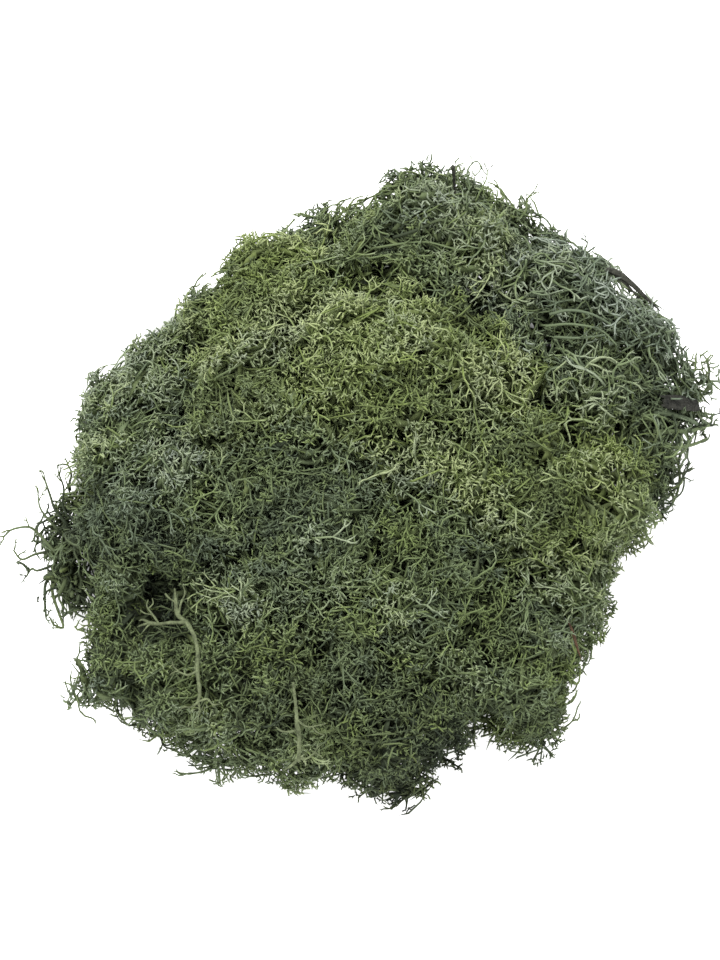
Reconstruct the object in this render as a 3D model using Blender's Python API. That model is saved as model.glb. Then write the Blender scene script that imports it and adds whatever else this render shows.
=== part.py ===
"""Moss clump: cushions of dried reindeer moss pressed together into one low heap, with a few twigs caught in it.

Each cushion (tuft) grew as one plant, so it is one closed lump that reaches the tips of its branches. The
tufts meet face to face with a hair's gap, and all of them rest on the surface on a flat underside. The woody
bits and two loose stems lie in grooves of the tufts that hold them. Metres, +Z up, origin at the middle of
the clump's footprint, -Y towards the viewer.
"""

import math

import bmesh
import bpy
from mathutils import Matrix, Vector, noise

TUFT_GAP = 0.0005  # clear space between two tufts
GROOVE_GAP = 0.0004  # clear space round a twig that lies in a tuft
HEAD_SIZE = 0.0125  # spacing of the rounded heads that a tuft is made of
HEAD_RELIEF = 0.20  # how far the heads stand out, as a share of the tuft's radius
CENTRE_HEIGHT = 0.42  # height of a tuft's centre, as a share of its top height
ICOSAHEDRON_EDGE = 1.0515  # edge of an icosahedron of radius 1
FACE_SIZE = 0.0062  # about how long a tuft's faces are

YELLOW_GREEN = (0.205, 0.262, 0.086)
MID_GREEN = (0.130, 0.178, 0.074)
DEEP_GREEN = (0.078, 0.118, 0.055)
BLUE_GREEN = (0.082, 0.126, 0.074)

# name: (x, y) of the centre, (long, short) radius, turn of the long radius in degrees, top height, colour
TUFTS = {
    "tuft_crown": ((0.0170, 0.0565), (0.0275, 0.0215), 0, 0.047, DEEP_GREEN),
    "tuft_back_knot": ((-0.0115, 0.0580), (0.0130, 0.0110), 10, 0.028, BLUE_GREEN),
    "tuft_upper_left": ((-0.0240, 0.0405), (0.0230, 0.0195), 15, 0.045, YELLOW_GREEN),
    "tuft_left_shoulder": ((-0.0475, 0.0160), (0.0265, 0.0205), 46, 0.038, MID_GREEN),
    "tuft_saddle": ((-0.0265, 0.0150), (0.0205, 0.0190), 0, 0.050, YELLOW_GREEN),
    "tuft_summit": ((0.0080, 0.0220), (0.0300, 0.0270), 0, 0.058, YELLOW_GREEN),
    "tuft_right_flank": ((0.0535, 0.0270), (0.0375, 0.0240), -62, 0.046, BLUE_GREEN),
    "tuft_right_brow": ((0.0405, -0.0065), (0.0305, 0.0250), -34, 0.051, YELLOW_GREEN),
    "tuft_middle": ((-0.0140, -0.0150), (0.0270, 0.0250), 0, 0.052, MID_GREEN),
    "tuft_low_brow": ((0.0170, -0.0260), (0.0240, 0.0225), 20, 0.048, MID_GREEN),
    "tuft_left_middle": ((-0.0470, -0.0150), (0.0275, 0.0240), 0, 0.044, MID_GREEN),
    "tuft_left_spray": ((-0.0700, -0.0170), (0.0125, 0.0185), 0, 0.025, DEEP_GREEN),
    "tuft_lower_left": ((-0.0450, -0.0460), (0.0270, 0.0205), -28, 0.037, MID_GREEN),
    "tuft_bottom": ((-0.0040, -0.0505), (0.0330, 0.0275), -6, 0.042, DEEP_GREEN),
    "tuft_lower_right": ((0.0335, -0.0440), (0.0215, 0.0225), -10, 0.038, MID_GREEN),
    "tuft_right_low": ((0.0440, -0.0250), (0.0185, 0.0180), 0, 0.035, MID_GREEN),
}

# name: tuft that holds it, (x, y) where it starts and ends on that tuft, radius,
# how high its middle line lies over the tuft's surface, colour, roughness
TWIGS = {
    "twig_dark": (
        "tuft_right_flank", (0.0590, 0.0470), (0.0705, 0.0385), 0.00060, 0.0008, (0.040, 0.034, 0.027), 0.75
    ),
    "needle_red": (
        "tuft_lower_right", (0.0490, -0.0385), (0.0515, -0.0465), 0.00040, 0.0008, (0.150, 0.055, 0.024), 0.55
    ),
    "stem_left": (
        "tuft_lower_left", (-0.0440, -0.0375), (-0.0380, -0.0575), 0.00070, 0.0010, (0.230, 0.262, 0.110), 0.85
    ),
    "stem_bottom": (
        "tuft_bottom", (-0.0150, -0.0560), (-0.0140, -0.0700), 0.00060, 0.0008, (0.200, 0.238, 0.098), 0.85
    ),
}
TWIG_STEPS = 6
TWIG_BEND = 0.6  # how far a twig follows the bulge of the tuft it lies on
TWIG_SIDES = 8
STUB_PLACE = (0.0230, 0.0700)
STUB_RADIUS = 0.00055
STUB_LENGTH = 0.0120
STUB_SHOWS = 0.0045  # how much of the stub stands out of the crown
BARK_SIZE = (0.0120, 0.0034, 0.0011)  # length, width and thickness of the bark strip
BARK_ENDS = ((0.0720, 0.0145), (0.0810, 0.0170))


def clear_scene():
    for obj in list(bpy.data.objects):
        bpy.data.objects.remove(obj)


def material(name, colour, roughness):
    made = bpy.data.materials.new(name)
    made.use_nodes = True
    shader = made.node_tree.nodes["Principled BSDF"]
    shader.inputs["Base Color"].default_value = (*colour, 1.0)
    shader.inputs["Roughness"].default_value = roughness
    shader.inputs["Metallic"].default_value = 0.0
    return made


def direction(azimuth, elevation):
    """Unit vector: azimuth in degrees round Z from +X, elevation in degrees above the horizon."""
    a, e = math.radians(azimuth), math.radians(elevation)
    return Vector((math.cos(a) * math.cos(e), math.sin(a) * math.cos(e), math.sin(e)))


class Tuft:
    """One cushion: a lumpy ellipsoid, cut flat by the surface below and by the planes shared with its neighbours."""

    def __init__(self, index, name):
        (x, y), (long_radius, short_radius), turn, top, self.colour = TUFTS[name]
        self.name = name
        self.centre = Vector((x, y, CENTRE_HEIGHT * top))
        self.radii = Vector((long_radius, short_radius, (1 - CENTRE_HEIGHT) * top))
        self.turn = Matrix.Rotation(math.radians(turn), 3, "Z")
        self.seed = Vector((7.3 * index, 3.1 * index, 1.7 * index))
        self.planes = []  # (outward normal, distance from the centre)

    def ellipsoid_radius(self, way):
        local = way @ self.turn
        return 1 / math.sqrt(sum((local[k] / self.radii[k]) ** 2 for k in range(3)))

    def lumpy_radius(self, way):
        """The ellipsoid's radius, raised in the middle of each head and lowered in the creases between heads."""
        radius = self.ellipsoid_radius(way)
        crease = noise.voronoi(way * radius / HEAD_SIZE + self.seed)[0][0]
        return radius * (1 + HEAD_RELIEF * (0.52 - crease))

    def meet(self, other):
        """Adds the plane between this tuft and a neighbour, placed by how far each reaches towards the other."""
        across = other.centre - self.centre
        distance = across.length
        way = across / distance
        mine, theirs = self.ellipsoid_radius(way), other.ellipsoid_radius(-way)
        if mine + theirs > 0.8 * distance:
            self.planes.append((way, distance * mine / (mine + theirs) - TUFT_GAP / 2))

    def radius(self, way):
        """The lumpy radius, cut short where the surface below or a neighbour's plane comes first."""
        found = self.lumpy_radius(way)
        if way.z < -1e-6:
            found = min(found, -self.centre.z / way.z)
        for normal, distance in self.planes:
            towards = way.dot(normal)
            if towards > 1e-6:
                found = min(found, distance / towards)
        return found

    def top_at(self, place):
        """The point of the surface straight above a place (x, y), found by halving."""
        low, high = self.centre.z, self.centre.z + 2 * self.radii.z
        for _ in range(30):
            height = (low + high) / 2
            arm = Vector((*place, height)) - self.centre
            if arm.length < self.radius(arm.normalized()):
                low = height
            else:
                high = height
        return Vector((*place, low))

    def normal_at(self, place):
        """Unit vector out of the surface there, from its slope across a few millimetres."""
        x, y = place
        step = 0.003
        east = self.top_at((x + step, y)) - self.top_at((x - step, y))
        north = self.top_at((x, y + step)) - self.top_at((x, y - step))
        return east.cross(north).normalized()

    def build(self):
        """An icosahedron with its edges cut to about the face size, each point then moved out to the surface."""
        mesh = bpy.data.meshes.new(self.name)
        edge = ICOSAHEDRON_EDGE * (self.radii.x + self.radii.y) / 2
        sphere = bmesh.new()
        bmesh.ops.create_icosphere(sphere, subdivisions=1, radius=1)
        bmesh.ops.subdivide_edges(sphere, edges=sphere.edges, cuts=round(edge / FACE_SIZE), use_grid_fill=True)
        bmesh.ops.triangulate(sphere, faces=sphere.faces)
        for vertex in sphere.verts:
            way = vertex.co.normalized()
            vertex.co = way * self.radius(way)
            if abs(vertex.co.z + self.centre.z) < 1e-7:
                vertex.co.z = -self.centre.z
        sphere.to_mesh(mesh)
        sphere.free()
        obj = bpy.data.objects.new(self.name, mesh)
        obj.location = self.centre
        bpy.context.scene.collection.objects.link(obj)
        mesh.materials.append(material(self.name, self.colour, 0.9))
        mesh.shade_smooth()
        mesh.set_sharp_from_angle(angle=math.radians(40))
        return obj


def tube(name, points, radius):
    """A round rod through the points, closed at both ends."""
    curve = bpy.data.curves.new(name, "CURVE")
    curve.dimensions = "3D"
    curve.bevel_depth = radius
    curve.bevel_resolution = TWIG_SIDES // 4
    curve.use_fill_caps = True
    spline = curve.splines.new("POLY")
    spline.points.add(len(points) - 1)
    for spot, point in zip(spline.points, points):
        spot.co = (*point, 1.0)
    graph = bpy.context.evaluated_depsgraph_get()
    guide = bpy.data.objects.new(name, curve)
    mesh = bpy.data.meshes.new_from_object(guide.evaluated_get(graph))
    bpy.data.objects.remove(guide)
    welded = bmesh.new()
    welded.from_mesh(mesh)
    bmesh.ops.remove_doubles(welded, verts=welded.verts, dist=1e-6)
    bmesh.ops.recalc_face_normals(welded, faces=welded.faces)
    welded.to_mesh(mesh)
    welded.free()
    mesh.name = name
    obj = bpy.data.objects.new(name, mesh)
    bpy.context.scene.collection.objects.link(obj)
    return obj


def finish_piece(obj, colour, roughness):
    obj.data.materials.clear()
    obj.data.materials.append(material(obj.name, colour, roughness))
    obj.data.shade_smooth()
    obj.data.set_sharp_from_angle(angle=math.radians(50))


def make_cutter(obj):
    obj.hide_render = True
    obj.display_type = "WIRE"
    return obj


def cut_groove(tuft_object, cutter):
    groove = tuft_object.modifiers.new(cutter.name, "BOOLEAN")
    groove.operation = "DIFFERENCE"
    groove.object = cutter


def lengthened(points, extra):
    """The same line, longer by extra at both ends."""
    first = points[0] + (points[0] - points[1]).normalized() * extra
    last = points[-1] + (points[-1] - points[-2]).normalized() * extra
    return [first, *points[1:-1], last]


def lay_twig(name, tufts, objects):
    """A thin rod that follows its tuft's surface from one place to another, in a groove of that tuft."""
    holder, start, end, radius, lift, colour, roughness = TWIGS[name]
    tuft = tufts[holder]
    first, last = (tuft.top_at(place) + tuft.normal_at(place) * lift for place in (start, end))
    middle = [(a + b) / 2 for a, b in zip(start, end)]
    bow = (tuft.top_at(middle) + tuft.normal_at(middle) * lift - (first + last) / 2) * TWIG_BEND
    points = [
        first.lerp(last, k / TWIG_STEPS) + bow * math.sin(math.pi * k / TWIG_STEPS)
        for k in range(TWIG_STEPS + 1)
    ]
    finish_piece(tube(name, points, radius), colour, roughness)
    cutter = make_cutter(tube(name + "_groove", lengthened(points, GROOVE_GAP), radius + GROOVE_GAP))
    cut_groove(objects[holder], cutter)


def stand_stub(tufts, objects):
    """The short twig that stands up out of the crown."""
    outward = direction(90, 62)
    top = tufts["tuft_crown"].top_at(STUB_PLACE) + outward * STUB_SHOWS
    foot = top - outward * STUB_LENGTH
    points = [foot, foot.lerp(top, 0.5), top]
    finish_piece(tube("twig_stub", points, STUB_RADIUS), (0.060, 0.052, 0.040), 0.8)
    hole = tube("twig_stub_hole", lengthened(points, GROOVE_GAP), STUB_RADIUS + GROOVE_GAP)
    cut_groove(objects["tuft_crown"], make_cutter(hole))


def box_at(name, size, place, lengthways, outward):
    """A block with its length along lengthways and its thickness along outward."""
    across = outward.cross(lengthways).normalized()
    along = across.cross(outward).normalized()
    mesh = bpy.data.meshes.new(name)
    block = bmesh.new()
    bmesh.ops.create_cube(block, size=1)
    for vertex in block.verts:
        vertex.co = along * vertex.co.x * size[0] + across * vertex.co.y * size[1] + outward * vertex.co.z * size[2]
    bmesh.ops.recalc_face_normals(block, faces=block.faces)
    block.to_mesh(mesh)
    block.free()
    obj = bpy.data.objects.new(name, mesh)
    obj.location = place
    bpy.context.scene.collection.objects.link(obj)
    return obj


def lay_bark(tufts, objects):
    """The flat strip of bark that lies on the right flank, in a shallow pocket."""
    tuft = tufts["tuft_right_flank"]
    near, far = (tuft.top_at(place) for place in BARK_ENDS)
    outward = tuft.normal_at([(a + b) / 2 for a, b in zip(*BARK_ENDS)])
    place = (near + far) / 2 + outward * BARK_SIZE[2] * 0.3
    finish_piece(box_at("bark_strip", BARK_SIZE, place, far - near, outward), (0.050, 0.050, 0.042), 0.8)
    roomy = tuple(side + 2 * GROOVE_GAP for side in BARK_SIZE)
    cut_groove(objects["tuft_right_flank"], make_cutter(box_at("bark_pocket", roomy, place, far - near, outward)))


def centre_on_footprint():
    """Moves everything so that the middle of the clump's underside is the origin."""
    bpy.context.view_layer.update()
    graph = bpy.context.evaluated_depsgraph_get()
    corners = []
    for obj in bpy.data.objects:
        if not obj.hide_render:
            mesh = obj.evaluated_get(graph).data
            corners += [obj.matrix_world @ vertex.co for vertex in mesh.vertices]
    low = Vector(min(corner[k] for corner in corners) for k in range(3))
    high = Vector(max(corner[k] for corner in corners) for k in range(3))
    middle = Vector(((low.x + high.x) / 2, (low.y + high.y) / 2, low.z))
    for obj in bpy.data.objects:
        obj.location -= middle


def main():
    clear_scene()
    tufts = {name: Tuft(index, name) for index, name in enumerate(TUFTS)}
    for tuft in tufts.values():
        for other in tufts.values():
            if other is not tuft:
                tuft.meet(other)
    objects = {name: tuft.build() for name, tuft in tufts.items()}
    for name in TWIGS:
        lay_twig(name, tufts, objects)
    stand_stub(tufts, objects)
    lay_bark(tufts, objects)
    centre_on_footprint()


main()
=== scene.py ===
import math

import bpy
import numpy as np
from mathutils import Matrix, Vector


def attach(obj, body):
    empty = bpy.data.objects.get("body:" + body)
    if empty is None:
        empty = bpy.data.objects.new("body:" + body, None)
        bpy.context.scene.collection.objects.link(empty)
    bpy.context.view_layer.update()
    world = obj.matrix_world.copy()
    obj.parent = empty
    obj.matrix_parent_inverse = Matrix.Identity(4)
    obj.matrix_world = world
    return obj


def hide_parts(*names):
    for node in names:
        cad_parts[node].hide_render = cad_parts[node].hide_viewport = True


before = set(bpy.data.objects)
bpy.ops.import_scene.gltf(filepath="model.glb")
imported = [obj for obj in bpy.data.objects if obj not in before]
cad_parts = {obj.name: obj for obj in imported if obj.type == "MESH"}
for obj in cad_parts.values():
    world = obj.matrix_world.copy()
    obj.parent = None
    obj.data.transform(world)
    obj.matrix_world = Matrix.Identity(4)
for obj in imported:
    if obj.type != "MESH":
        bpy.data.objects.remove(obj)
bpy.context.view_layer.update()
mm = 0.001


def unit(vectors):
    # each vector divided by its own length
    return vectors / np.maximum(np.linalg.norm(vectors, axis=-1, keepdims=True), 1e-9)


def smooth(low, high, values):
    # 0 below low, 1 above high, and an S-shaped rise between them
    share = np.clip((values - low) / (high - low), 0, 1)
    return share * share * (3 - 2 * share)


def ripple(places, wavelength, seed):
    # a sum of 16 cosine waves about one wavelength long, in seeded directions: mostly between -1 and 1
    dice = np.random.default_rng(seed)
    waves = unit(dice.normal(size=(16, 3))) * 2 * np.pi / wavelength * dice.uniform(0.75, 1.35, (16, 1))
    return np.cos(places @ waves.T + dice.uniform(0, 2 * np.pi, 16)).sum(1) / 4


def bowls(places, spots):
    # smooth round bowls seen from above: the sum of each spot's strengths times a bell of its radius
    spots = np.array(spots, float)
    off = ((places[:, None, :2] / mm - spots[None, :, :2]) ** 2).sum(-1) / spots[:, 2] ** 2
    return np.exp(-off) @ spots[:, 3:]


def leaning(ways, tilt, turn):
    # ways tilted away from themselves by one angle, in the direction that the other angle gives round them
    spare = np.where(np.abs(ways[..., 2:]) < 0.9, [0.0, 0.0, 1.0], [1.0, 0.0, 0.0])
    east = unit(np.cross(spare, ways))
    north = np.cross(ways, east)
    across = east * np.cos(turn)[..., None] + north * np.sin(turn)[..., None]
    return ways * np.cos(tilt)[..., None] + across * np.sin(tilt)[..., None]


def nearestOf(points, others):
    # for each point, which of the others is nearest, and how far it is
    gaps = (points ** 2).sum(1)[:, None] - 2 * points @ others.T + (others ** 2).sum(1)
    best = gaps.argmin(1)
    return best, np.sqrt(np.maximum(gaps[np.arange(len(points)), best], 0))


def spaced(points, ways, spacing, dice):
    # which points stay when each square of a grid keeps one, picked at random; the grid is drawn on the
    # plane that the surface there faces most
    axis = np.abs(ways).argmax(1)
    cells = np.floor(points / (spacing * mm)).astype(int)
    cells[np.arange(len(points)), axis] = 0
    mixed = dice.permutation(len(points))
    keys = np.column_stack([axis, np.sign(ways[np.arange(len(points)), axis]), cells])[mixed]
    return mixed[np.unique(keys, axis=0, return_index=True)[1]]


clump = {  # the whole heap; lengths in mm
    "rows": 36,                        # steps from straight down to straight up, when a cushion is read
    "melt": 3.2,                       # how widely neighbouring cushions run into one surface
    "mound": (56, 52, 43),             # half sizes of the low mound that fills the valleys between them
    "moundHeart": (0, 2, 2),
    "dome": (88, 84, 62),              # half sizes of the dome from which lines find the surface
    "domeHeart": (0, 0, 8),
    "lines": 170000,
    "underTries": 60000,               # places tried for the flat underside
    "grain": 0.8,                      # spacing of the places kept on the surface
    "crownSpacing": 10.0,              # between the rounded crowns that make the lumps
    "budSpacing": 4.6,                 # between the smaller heads on each crown
    "crownRelief": 3.4,                # how deep the creases between crowns and between buds are
    "budRelief": 0.8,
    "crownDrops": (-1.4, 2.6),         # how much deeper one crown's moss lies than the next one's
    "deepest": 7.5,                    # limit of the creases and drops together
    "proud": 1.0,                      # how far the canopy stands out of the cushions' own skin
    "sidesIn": 1.0,                    # how much deeper the canopy starts on the sides than on top
    "roll": (30, 1.4),                 # length and depth of the slow swell of the whole surface
    "clearing": (2.0, 2.2),            # radius and depth of the room kept round twigs, stems and bark
    "bedSpacing": 2.1,                 # between the oldest stems, flat on the ground
    "ground": 0.25,                    # least gap between a strand and the ground
    "hueRipples": ((0.18, 22, 17), (0.20, 7, 18), (0.14, 3.5, 20)),   # strength, wavelength and seed
    "toneRipples": ((0.05, 12, 19), (0.05, 5, 21)),
    # x, y, radius and depth of the open dark places; where the depth is below 0 the moss swells instead
    "hollows": [
        (26, 32, 6, 7), (12, 14, 5, 7), (-50, -35, 6, 7), (-34, -40, 4, 5), (-14, -59, 4, 6),
        (50, 33, 7, 8), (-46, -17, 6, 3), (-62, -23, 4, 1), (35, 40, 4, 4), (-6, -1, 4, 1),
        (31, -29, 4, 5), (0, 44, 6, 7), (5, 46, 4, 5), (6, 55, 4.5, 7), (-40, 31, 4, 4), (-34, 15, 4, 7),
        (-45, -22, 5, 2.5), (39, -14, 6, 4), (31, -6, 5, 4), (51, 4, 5, 4), (64, 7, 5, 4),
        (55, -13, 4, 2), (70, -6, 5, 1), (-8, 45, 5, 2), (21, 51, 4, 2.5), (-24, 47, 7, 2.5),
        (-6, 22, 5, 4), (-21, 17, 6, 4), (62, 24, 6, 3), (55, 28, 5, 3), (20, -61, 7, 3), (9, -58, 6, 4),
        (-3, -68, 5, 3), (33, -43, 5, 2.5), (13, -33, 4, 2.5), (3, -27, 4, 2.5), (49, -23, 4, 2.5),
        (-58, 10, 5, 4), (-38, 28, 4, 2), (-12, 35, 4, 2.5), (-25, -59, 4, 3), (-17, -52, 4, 2.5),
        (18, 40, 5, 2), (-67, -7, 5, 4), (-61, -42, 5, 1), (-47, -57, 5, 3), (-13, -64, 5, 3),
        (-27, -65, 5, 2), (37, 20, 5, -5), (32, 48, 5, -5), (-2, 32, 6, -5), (-26, -37, 5, -4),
        (-32, 22, 4, -3), (-25, 25, 5, -3), (-18, 29, 4, -3), (-43, -3, 5, -3), (-39, -5, 5, -2),
        (-60, 1, 6, -4), (-52, -30, 4, -3), (-12, -24, 4, -3), (6, 20, 5, -4), (15, 25, 5, -4),
        (59, 13, 5, -5), (58, -3, 5, -4), (15, -9, 7, -2), (32, -17, 4, -3), (43, -24, 4, -3),
        (17, -48, 5, -2), (-56, -50, 5, -4), (-14, -71, 5, -3), (46, -43, 5, -3), (9, -38, 5, -2),
        (-22, 38, 5, -2), (17, 61, 6, -4), (-23, -52, 4, -3), (52, -34, 6, -3), (38, -57, 5, -3),
        (27, -53, 5, -3), (-8, 56, 5, -2), (69, 33, 6, -3)],
    # the same at the outline: where lumps part, and where they bulge
    "notches": [
        (-58, -57, 6, 12), (-55, -55, 5, 4), (-76, -31, 9, 10), (-72, -24, 5, 8), (-78, -10, 5, 3),
        (-83, -19, 8, 8), (30, -62, 5, 10), (-40, 52, 5, 6), (-38, 57, 5, 3), (-47, 42, 6, 3),
        (-64, 31, 6, 5), (1, 73, 6, 6), (63, 54, 6, 1), (52, 55, 6, -3), (-76, -3, 6, 2), (53, -58, 5, 4),
        (79, 6, 5, 5), (73, -12, 4, 5), (80, 11, 4, 4), (-71, -46, 4, 5), (-43, -67, 6, 5),
        (12, -74, 6, -5), (22, -63, 5, -10), (42, -62, 7, -3), (84, 27, 8, -12), (84, 18, 7, -3),
        (72, -2, 6, -8), (64, -13, 5, -8), (20, 77, 9, -3), (26, 74, 5, -3), (42, 67, 6, -3),
        (-69, 15, 5, -2), (-70, 5, 6, -3), (-31, -68, 7, -5), (-9, 68, 6, -4), (-64, -53, 5, -4),
        (-50, -61, 5, -4), (8, 75, 5, -1), (-30, 61, 5, -3)],
    # where one cushion reaches over its neighbour: x, y, radius and how far
    "claims": {"tuft_summit": [(40, 21, 8, 9)]},
    # where the colour differs: x, y, radius, how much cooler, where the dye took differently, and how much
    # lighter, which paints light and shade, such as darker edges, as well as the moss's own tone
    "casts": [
        (-2, 37, 19, -0.25, 0.06), (-22, 45, 15, -0.18, 0.02), (56, 4, 13, -0.38, 0.04),
        (34, 23, 14, -0.2, 0.06), (17, -6, 20, -0.05, 0.03), (-50, -19, 13, 0.15, -0.04),
        (52, 30, 10, 0.1, -0.08), (8, -69, 14, 0.05, -0.1), (-14, -14, 11, 0.25, -0.02),
        (-47, 29, 14, -0.05, 0.06), (60, 47, 22, 0.25, 0.04), (40, -43, 12, -0.15, -0.03),
        (-30, -33, 7, -0.2, 0.2), (-19, 36, 8, -0.05, 0.36), (38, 20, 6, -0.1, 0.5),
        (50, 20, 6, -0.05, 0.36), (59, 13, 6, -0.1, 0.5), (-28, -4, 10, 0.05, -0.12),
        (-8, -9, 8, 0.03, -0.18), (0, -22, 9, 0.05, -0.08), (-45, -22, 8, 0.1, -0.5),
        (25, -26, 7, 0.1, -0.1), (70, -4, 7, 0.1, -0.55), (9, 72, 8, 0.1, -0.46), (-8, 65, 6, 0.1, -0.14),
        (80, 15, 5, 0.1, -0.14), (69, 24, 8, 0.1, -0.24), (81, 11, 6, 0.1, -0.35)],
    # where the moss is lighter, or darker below 0, as painted light and shade over hollows and lumps as well
    # as its own tone: x, y, radius and how much
    "lights": [
        (-9, 53, 7, 0.12), (18, 61, 8, 0.32), (32, 48, 8, 0.6), (46, 48, 8, 0.16), (52, 43, 5, 0.16),
        (-3, 34, 6, 0.45), (11, 23, 6, 0.36), (23, -6, 6, 0.36), (28, 15, 6, 0.26), (32, -16, 6, 0.44),
        (-3, -31, 5, 0.24), (9, -37, 6, 0.3), (16, -49, 7, 0.32), (-12, -23, 5, 0.46),
        (-60, -51, 6, 0.32), (25, -54, 6, 0.24), (-43, -2, 6, 0.52), (-60, 4, 5, 0.32),
        (-59, -15, 6, 0.1), (-62, 22, 8, 0.36), (7, -8, 7, 0.34), (45, -25, 6, 0.26), (-48, 15, 6, 0.1),
        (6, 41, 4, 0.2), (17, 30, 4, 0.12), (-23, -52, 4, 0.14), (-26, -37, 5, 0.46), (-52, -29, 5, 0.3),
        (-42, -65, 8, 0.2), (-12, -73, 7, 0.5), (50, -35, 7, 0.12), (46, -42, 5, 0.12), (58, -4, 6, 0.4),
        (64, -12, 5, 0.12), (-32, 22, 5, 0.2), (-45, 34, 7, 0.12), (-10, 17, 7, 0.12), (-29, -67, 5, 0.1),
        (1, -62, 4, 0.15), (-20, 59, 8, 0.1), (25, 74, 5, 0.12), (69, 36, 7, 0.3), (-32, 21, 5, 0.2),
        (-24, 25, 5, 0.3), (-18, 29, 5, 0.2), (17, 63, 6, 0.2), (-6, -1, 5, 0.15), (-33, -25, 5, 0.2),
        (-50, -11, 5, 0.2), (15, -62, 12, -0.24), (-39, 32, 7, -0.08), (-33, 13, 6, -0.5),
        (-20, 19, 8, -0.1), (-8, 5, 7, -0.1), (-50, -37, 6, -0.28), (-61, -24, 5, -0.3),
        (-59, -45, 7, -0.5), (-16, -53, 6, -0.22), (-30, -45, 6, -0.2), (31, -43, 7, -0.3),
        (47, 7, 7, -0.36), (48, -16, 6, -0.18), (66, 9, 7, -0.26), (-65, -9, 7, -0.4),
        (-24, 48, 8, -0.36), (10, 54, 5, -0.32), (21, 51, 4, -0.22), (-50, -58, 6, -0.3),
        (49, -56, 7, -0.22), (42, -63, 7, -0.25), (27, 30, 6, -0.4), (54, 34, 6, -0.28),
        (45, 62, 7, -0.1), (37, 62, 5, -0.14), (-29, -71, 6, -0.14), (11, -76, 7, -0.34),
        (-13, -65, 5, -0.12), (-25, -60, 5, -0.3), (-7, 45, 6, -0.22), (24, 36, 6, -0.28),
        (16, 40, 5, -0.22), (34, 35, 5, -0.12), (29, 5, 5, -0.1), (11, 14, 7, -0.28), (30, -4, 5, -0.16),
        (39, -5, 5, -0.16), (40, -14, 6, -0.35), (48, -19, 5, -0.2), (56, -41, 5, -0.25),
        (-43, -12, 5, -0.1), (61, 21, 5, -0.45), (60, 4, 6, -0.3), (-66, 11, 6, -0.3), (-57, 9, 4, -0.25),
        (9, 53, 5, -0.15), (-7, 43, 5, -0.15), (-4, 57, 4, -0.2), (-29, 32, 6, -0.25), (25, -64, 6, -0.4),
        (-24, -67, 6, -0.2), (-3, -69, 6, -0.25), (-7, -20, 5, -0.15), (-17, -19, 5, -0.15),
        (10, -16, 6, -0.2), (-62, -22, 5, -0.2)],
}


def readCushion(node):
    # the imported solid's radius in each direction of a grid, from a point low in its middle: the mean
    # distance of its corners, weighted by how nearly each lies in that direction
    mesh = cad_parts[node].data
    points = np.empty(len(mesh.vertices) * 3)
    mesh.vertices.foreach_get("co", points)
    points = points.reshape(-1, 3)
    low, high = points.min(0), points.max(0)
    heart = (low + high) / 2
    heart[2] = 0.42 * high[2]
    arms = np.unique(points.round(6), axis=0) - heart
    rises = np.linspace(-0.5, 0.5, clump["rows"] + 1) * np.pi
    turns = np.linspace(-1, 1, 2 * clump["rows"] + 1) * np.pi
    rise, turn = np.meshgrid(rises, turns, indexing="ij")
    ways = np.stack([np.cos(rise) * np.cos(turn), np.cos(rise) * np.sin(turn), np.sin(rise)], -1)
    weights = np.exp(90 * (ways @ unit(arms).T - 1))
    return {"heart": heart, "reach": (weights * np.linalg.norm(arms, axis=1)).sum(-1) / weights.sum(-1)}


def gapTo(cushion, points):
    # how far points are outside a cushion along the line from its heart, negative inside, read off its grid
    rows, reach = clump["rows"], cushion["reach"]
    arm = points - cushion["heart"]
    far = np.maximum(np.linalg.norm(arm, axis=1), 1e-6)
    row = (np.arcsin(arm[:, 2] / far) / np.pi + 0.5) * rows
    column = (np.arctan2(arm[:, 1], arm[:, 0]) / np.pi + 1) * rows
    i, j = np.minimum(row.astype(int), rows - 1), np.minimum(column.astype(int), 2 * rows - 1)
    v, u = row - i, column - j
    return far - ((reach[i, j] * (1 - u) + reach[i, j + 1] * u) * (1 - v)
                  + (reach[i + 1, j] * (1 - u) + reach[i + 1, j + 1] * u) * v)


def skin(points):
    # distance from the heap's own surface, negative inside: every cushion and one low mound, melted
    # together as the logarithm of a sum of exponentials
    melt = clump["melt"] * mm
    half = np.array(clump["mound"]) * mm
    off = np.linalg.norm((points - np.array(clump["moundHeart"]) * mm) / half, axis=1)
    total = np.exp(-(off - 1) * half.min() / melt)
    for cushion in cushions.values():
        total += np.exp(-gapTo(cushion, points) / melt)
    return -melt * np.log(total)


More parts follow.
